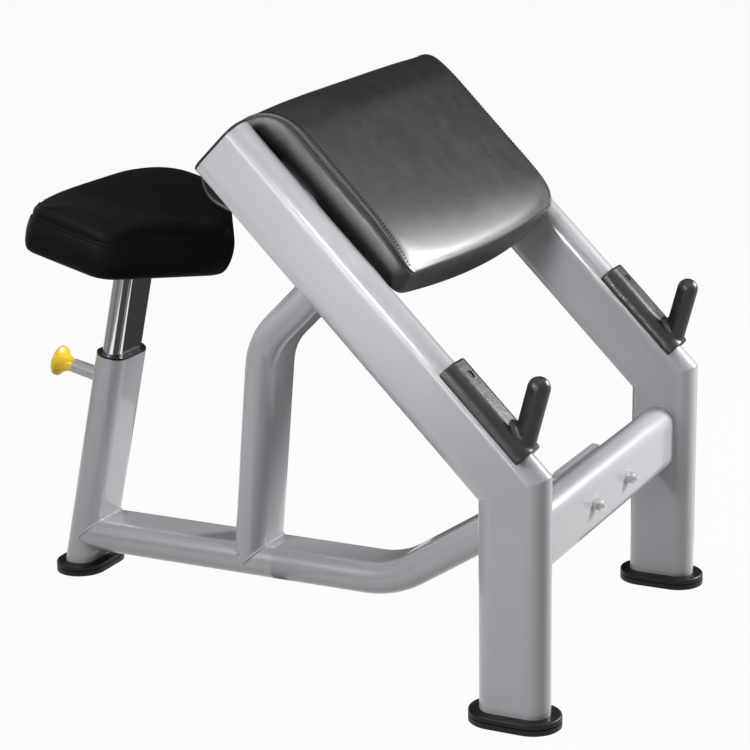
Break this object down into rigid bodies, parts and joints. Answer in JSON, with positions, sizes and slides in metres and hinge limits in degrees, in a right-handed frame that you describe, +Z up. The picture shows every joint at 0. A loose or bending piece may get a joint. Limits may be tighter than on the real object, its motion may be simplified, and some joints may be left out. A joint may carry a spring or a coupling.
{
  "type": "preacher curl bench",
  "caption": "Preacher curl bench: bent flat-oval frame, sloped arm pad with rolled chest end, bar hooks, and a seat on a leaning sliding post held by a spring pull pin.",
  "frame": {"origin": "on the floor, in the middle of the overall length and width", "axes": "+Z up, +Y from the bar hooks at the front to the seat at the rear, +X to the right when looking along +Y"},
  "size_m": [0.804, 1.1632, 0.9565],
  "materials": {
    "frame_paint": "gloss",
    "black_plastic": "satin",
    "hook_plastic": "gloss",
    "black_steel": "satin",
    "zinc_steel": "satin",
    "foot_rubber": "satin",
    "plywood": "matte",
    "vinyl": "satin",
    "post_chrome": "polished",
    "knob_plastic": "gloss"
  },
  "bodies": {
    "frame": {"left_leg_tube": "frame_paint", "right_leg_tube": "frame_paint", "left_arm_tube": "frame_paint", "right_arm_tube": "frame_paint", "left_arm_cap": "black_plastic", "right_arm_cap": "black_plastic", "left_bar_hook": "hook_plastic", "right_bar_hook": "hook_plastic", "hook_screws": "black_steel", "front_crossbar": "frame_paint", "upper_crossbar": "frame_paint", "base_flange_plate": "frame_paint", "crossbar_bolts": "zinc_steel", "crossbar_washers": "zinc_steel", "crossbar_nuts": "zinc_steel", "base_tube": "frame_paint", "strut_tube": "frame_paint", "seat_sleeve": "frame_paint", "sleeve_bush": "black_plastic", "left_front_foot": "foot_rubber", "right_front_foot": "foot_rubber", "rear_foot": "foot_rubber", "left_pad_bracket": "frame_paint", "right_pad_bracket": "frame_paint", "arm_pad_board": "plywood", "chest_board": "plywood", "arm_pad_cushion": "vinyl", "arm_pad_bolts": "black_steel", "arm_pad_tee_nuts": "zinc_steel", "pin_housing": "frame_paint", "pin_spring": "zinc_steel"},
    "seat": {"seat_post": "post_chrome", "post_glide": "black_plastic", "seat_plate": "frame_paint", "seat_board": "plywood", "seat_cushion": "vinyl", "seat_bolts": "black_steel", "seat_tee_nuts": "zinc_steel"},
    "pull_pin": {"plunger_pin": "zinc_steel", "pull_knob": "knob_plastic"}
  },
  "joints": [
    {"name": "seat_slide", "type": "slide", "parent": "frame", "child": "seat", "axis": [0, -0.2164, 0.9763], "range_m": [-0.15, 0.03]},
    {"name": "pin_pull", "type": "slide", "parent": "frame", "child": "pull_pin", "axis": [0, 0.9763, 0.2164], "range_m": [0, 0.012], "stiffness_N_per_m": 1000, "springref_m": -0.01, "deforming": ["pin_spring"]}
  ]
}
